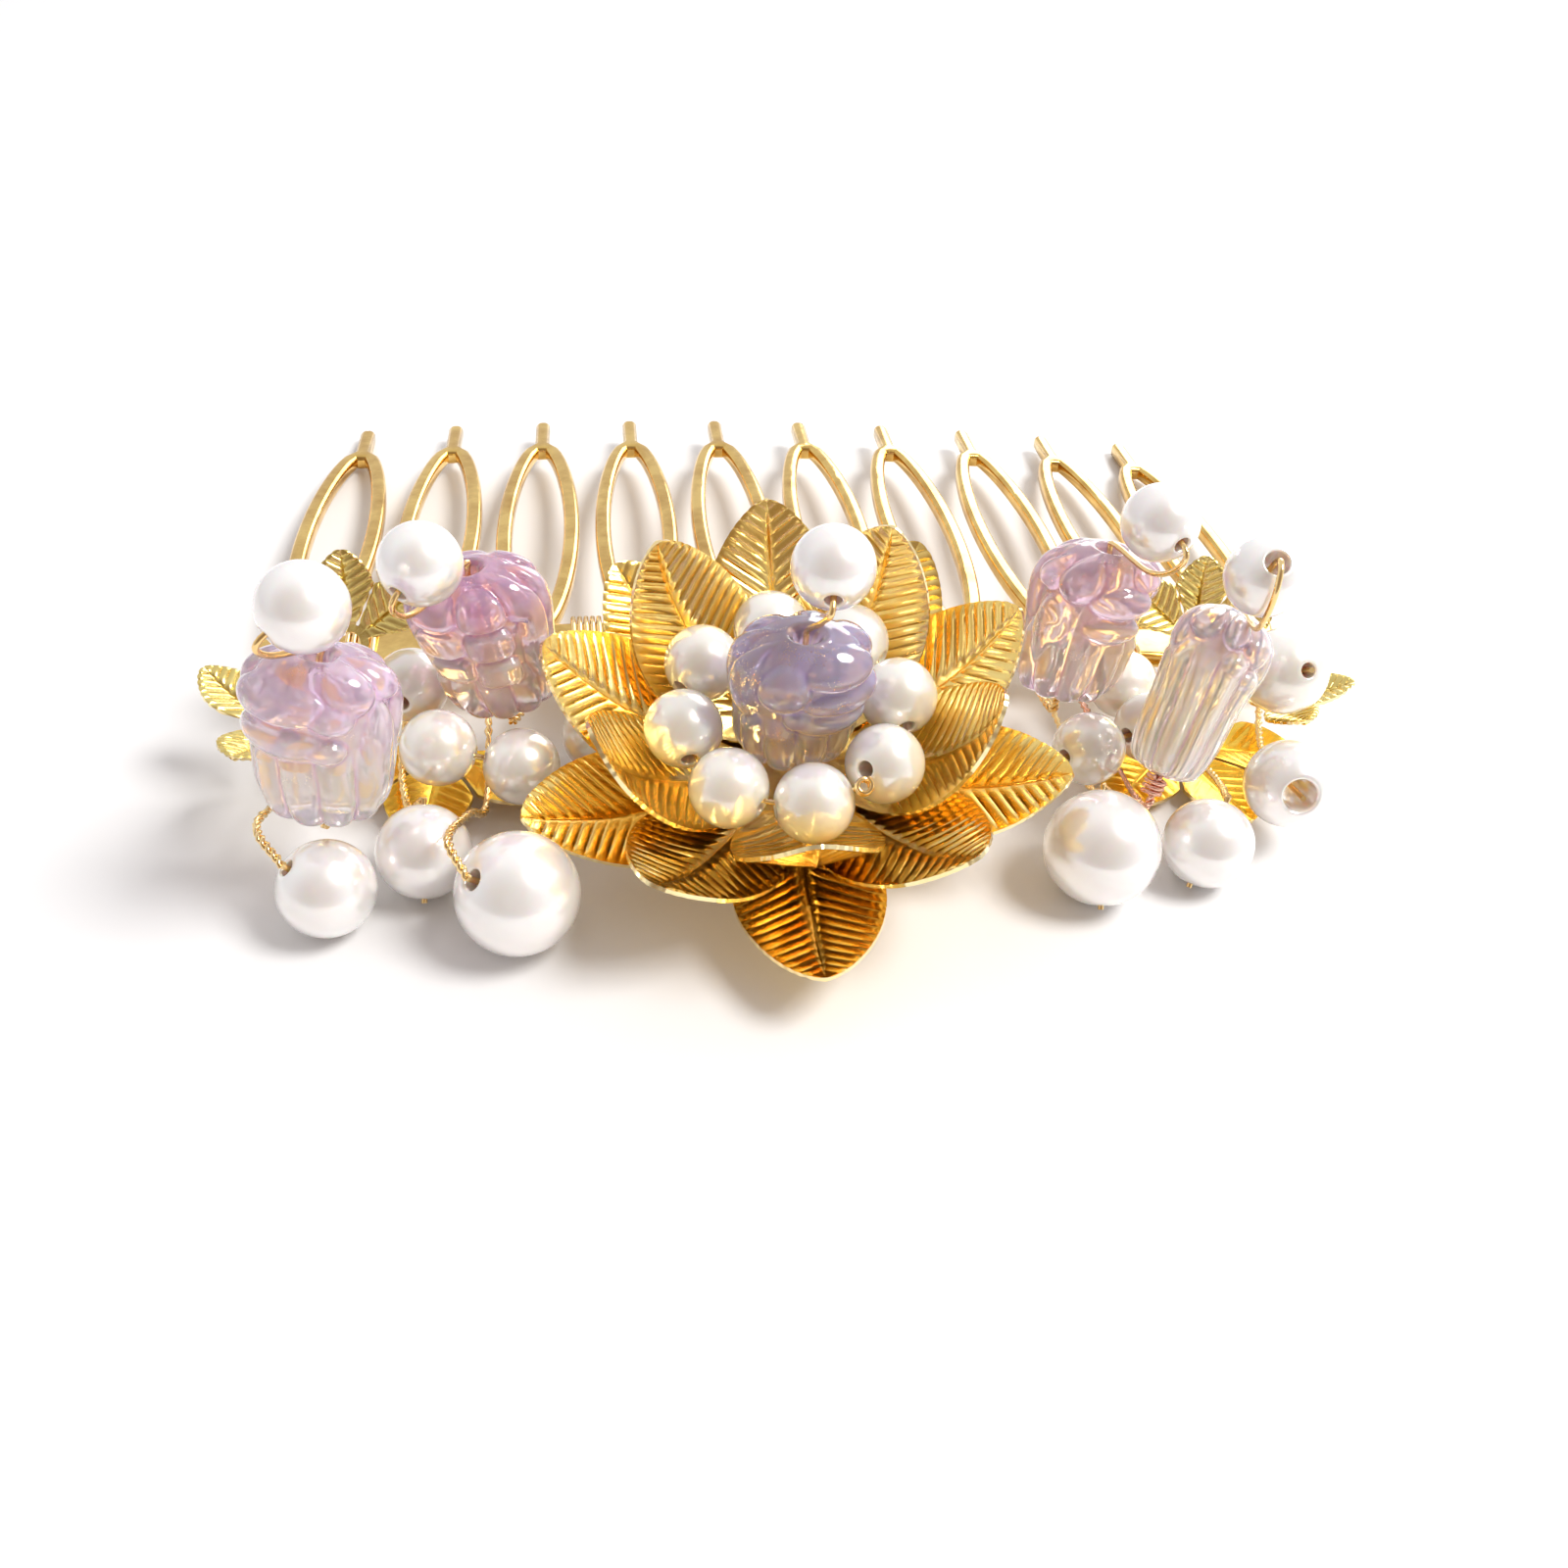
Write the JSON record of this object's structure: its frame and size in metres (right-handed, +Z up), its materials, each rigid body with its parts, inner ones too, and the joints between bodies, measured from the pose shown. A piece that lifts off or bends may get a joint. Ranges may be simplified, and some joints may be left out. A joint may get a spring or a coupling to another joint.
{
  "type": "decorative hair comb",
  "caption": "Curved metal hair comb with looped teeth, dressed with a layered metal flower, glass bud beads, pearl beads and small leaves on wires.",
  "frame": {"origin": "on the table under the middle of the part's bounding box", "axes": "+X along the comb's spine, +Y from the spine to the tooth tips, +Z up from the table that the comb lies on"},
  "size_m": [0.0806, 0.0724, 0.0248],
  "materials": {
    "comb_gold": "gold-coloured plate, semi-bright",
    "amber_gold_sheet": "stamped sheet, bright gold-coloured plate",
    "leaf_gold": "stamped ribs, gold-coloured plate",
    "gold_wire": "bright drawn wire",
    "pearl_coating": "pearlescent coating",
    "bud_glass_left_outer": "pressed glass, lilac with a pale streaked core",
    "bud_glass_left_inner": "pressed glass, plum head fading to peach",
    "bud_glass_centre": "pressed glass, lavender with gold dust",
    "bud_glass_right_inner": "pressed glass, pink lilac",
    "bud_glass_right_outer": "pressed glass, clear with a lilac head"
  },
  "bodies": {
    "comb_and_trim": {"comb": "comb_gold", "petal_tier_bottom": "amber_gold_sheet", "petal_tier_middle": "amber_gold_sheet", "petal_tier_top": "amber_gold_sheet", "base_leaf_left": "amber_gold_sheet", "base_leaf_right": "amber_gold_sheet", "leaf_spray_left_outer": "leaf_gold", "leaf_spray_left_inner": "leaf_gold", "leaf_spray_right_inner": "leaf_gold", "leaf_spray_right_outer": "leaf_gold", "ring_pearl_1": "pearl_coating", "ring_pearl_2": "pearl_coating", "ring_pearl_3": "pearl_coating", "ring_pearl_4": "pearl_coating", "ring_pearl_5": "pearl_coating", "ring_pearl_6": "pearl_coating", "ring_pearl_7": "pearl_coating", "ring_pearl_8": "pearl_coating", "cluster_pearl_left_inner_1": "pearl_coating", "cluster_pearl_left_1": "pearl_coating", "cluster_pearl_left_2": "pearl_coating", "cluster_pearl_left_3": "pearl_coating", "cluster_pearl_right_1": "pearl_coating", "cluster_pearl_right_2": "pearl_coating", "cluster_pearl_right_3": "pearl_coating", "cluster_pearl_right_outer_1": "pearl_coating", "stalk_wire_left_outer": "gold_wire", "stalk_wire_left_inner": "gold_wire", "stalk_wire_centre": "gold_wire", "stalk_wire_right_inner": "gold_wire", "stalk_wire_right_outer": "gold_wire", "ring_wire": "gold_wire", "front_wire_1": "gold_wire", "front_wire_2": "gold_wire", "front_wire_3": "gold_wire", "front_wire_4": "gold_wire", "front_wire_5": "gold_wire", "front_wire_6": "gold_wire", "cluster_wire_left_inner": "gold_wire", "cluster_wire_left": "gold_wire", "cluster_wire_right": "gold_wire", "cluster_wire_right_outer": "gold_wire", "binding_wire_left": "gold_wire", "binding_wire_right": "gold_wire"},
    "bud_left_outer": {"glass_bud_left_outer": "bud_glass_left_outer"},
    "bud_left_inner": {"glass_bud_left_inner": "bud_glass_left_inner"},
    "bud_centre": {"glass_bud_centre": "bud_glass_centre"},
    "bud_right_inner": {"glass_bud_right_inner": "bud_glass_right_inner"},
    "bud_right_outer": {"glass_bud_right_outer": "bud_glass_right_outer"},
    "pearl_left_outer": {"top_pearl_left_outer": "pearl_coating"},
    "pearl_left_inner": {"top_pearl_left_inner": "pearl_coating"},
    "pearl_centre": {"top_pearl_centre": "pearl_coating"},
    "pearl_right_inner": {"top_pearl_right_inner": "pearl_coating"},
    "pearl_right_outer": {"top_pearl_right_outer": "pearl_coating"},
    "pearl_front_1": {"front_pearl_1": "pearl_coating"},
    "pearl_front_2": {"front_pearl_2": "pearl_coating"},
    "pearl_front_3": {"front_pearl_3": "pearl_coating"},
    "pearl_front_4": {"front_pearl_4": "pearl_coating"},
    "pearl_front_5": {"front_pearl_5": "pearl_coating"},
    "pearl_front_6": {"front_pearl_6": "pearl_coating"}
  },
  "joints": [
    {"name": "bud_left_outer_spin", "type": "hinge", "parent": "comb_and_trim", "child": "bud_left_outer", "pos_m": [-0.03091, -0.02347, 0.0069], "axis": [0.0905, -0.0201, 0.9957], "continuous": true},
    {"name": "bud_left_inner_spin", "type": "hinge", "parent": "comb_and_trim", "child": "bud_left_inner", "pos_m": [-0.02061, -0.01147, 0.0058], "axis": [-0.175, -0.12, 0.9772], "continuous": true},
    {"name": "bud_centre_spin", "type": "hinge", "parent": "comb_and_trim", "child": "bud_centre", "pos_m": [-0.00222, -0.01806, 0.00679], "axis": [-0.0201, -0.2707, 0.9625], "continuous": true},
    {"name": "bud_right_inner_spin", "type": "hinge", "parent": "comb_and_trim", "child": "bud_right_inner", "pos_m": [0.01779, -0.01107, 0.0062], "axis": [0.115, 0.01, 0.9933], "continuous": true},
    {"name": "bud_right_outer_spin", "type": "hinge", "parent": "comb_and_trim", "child": "bud_right_outer", "pos_m": [0.02199, -0.02107, 0.0068], "axis": [0.354, 0.363, 0.8619], "continuous": true},
    {"name": "pearl_left_outer_spin", "type": "hinge", "parent": "comb_and_trim", "child": "pearl_left_outer", "pos_m": [-0.03001, -0.02507, 0.0223], "axis": [-0.7547, -0.5535, -0.3522], "continuous": true},
    {"name": "pearl_left_inner_spin", "type": "hinge", "parent": "comb_and_trim", "child": "pearl_left_inner", "pos_m": [-0.02481, -0.01707, 0.02], "axis": [-0.4969, -0.795, -0.3478], "continuous": true},
    {"name": "pearl_centre_spin", "type": "hinge", "parent": "comb_and_trim", "child": "pearl_centre", "pos_m": [-0.00121, -0.02067, 0.0222], "axis": [-0.1001, -0.9312, -0.3505], "continuous": true},
    {"name": "pearl_right_inner_spin", "type": "hinge", "parent": "comb_and_trim", "child": "pearl_right_inner", "pos_m": [0.02069, -0.01377, 0.0213], "axis": [0.3145, -0.9435, -0.1048], "continuous": true},
    {"name": "pearl_right_outer_spin", "type": "hinge", "parent": "comb_and_trim", "child": "pearl_right_outer", "pos_m": [0.02569, -0.01937, 0.0209], "axis": [-0.1191, -0.5957, 0.7943], "continuous": true},
    {"name": "pearl_front_1_spin", "type": "hinge", "parent": "comb_and_trim", "child": "pearl_front_1", "pos_m": [-0.03101, -0.02637, 0.003], "axis": [-0.6816, -0.1203, 0.7217], "continuous": true},
    {"name": "pearl_front_2_spin", "type": "hinge", "parent": "comb_and_trim", "child": "pearl_front_2", "pos_m": [-0.02551, -0.02327, 0.003], "axis": [0, 0.6816, 0.7317], "continuous": true},
    {"name": "pearl_front_3_spin", "type": "hinge", "parent": "comb_and_trim", "child": "pearl_front_3", "pos_m": [-0.01961, -0.02797, 0.0038], "axis": [-0.6777, -0.3289, 0.6577], "continuous": true},
    {"name": "pearl_front_4_spin", "type": "hinge", "parent": "comb_and_trim", "child": "pearl_front_4", "pos_m": [0.01759, -0.02497, 0.0038], "axis": [0.0605, 0.7058, 0.7058], "continuous": true},
    {"name": "pearl_front_5_spin", "type": "hinge", "parent": "comb_and_trim", "child": "pearl_front_5", "pos_m": [0.02539, -0.02387, 0.003], "axis": [0.3999, 0.5199, 0.7548], "continuous": true},
    {"name": "pearl_front_6_spin", "type": "hinge", "parent": "comb_and_trim", "child": "pearl_front_6", "pos_m": [0.03179, -0.02027, 0.005], "axis": [0.1461, 0.9157, -0.3743], "continuous": true}
  ]
}
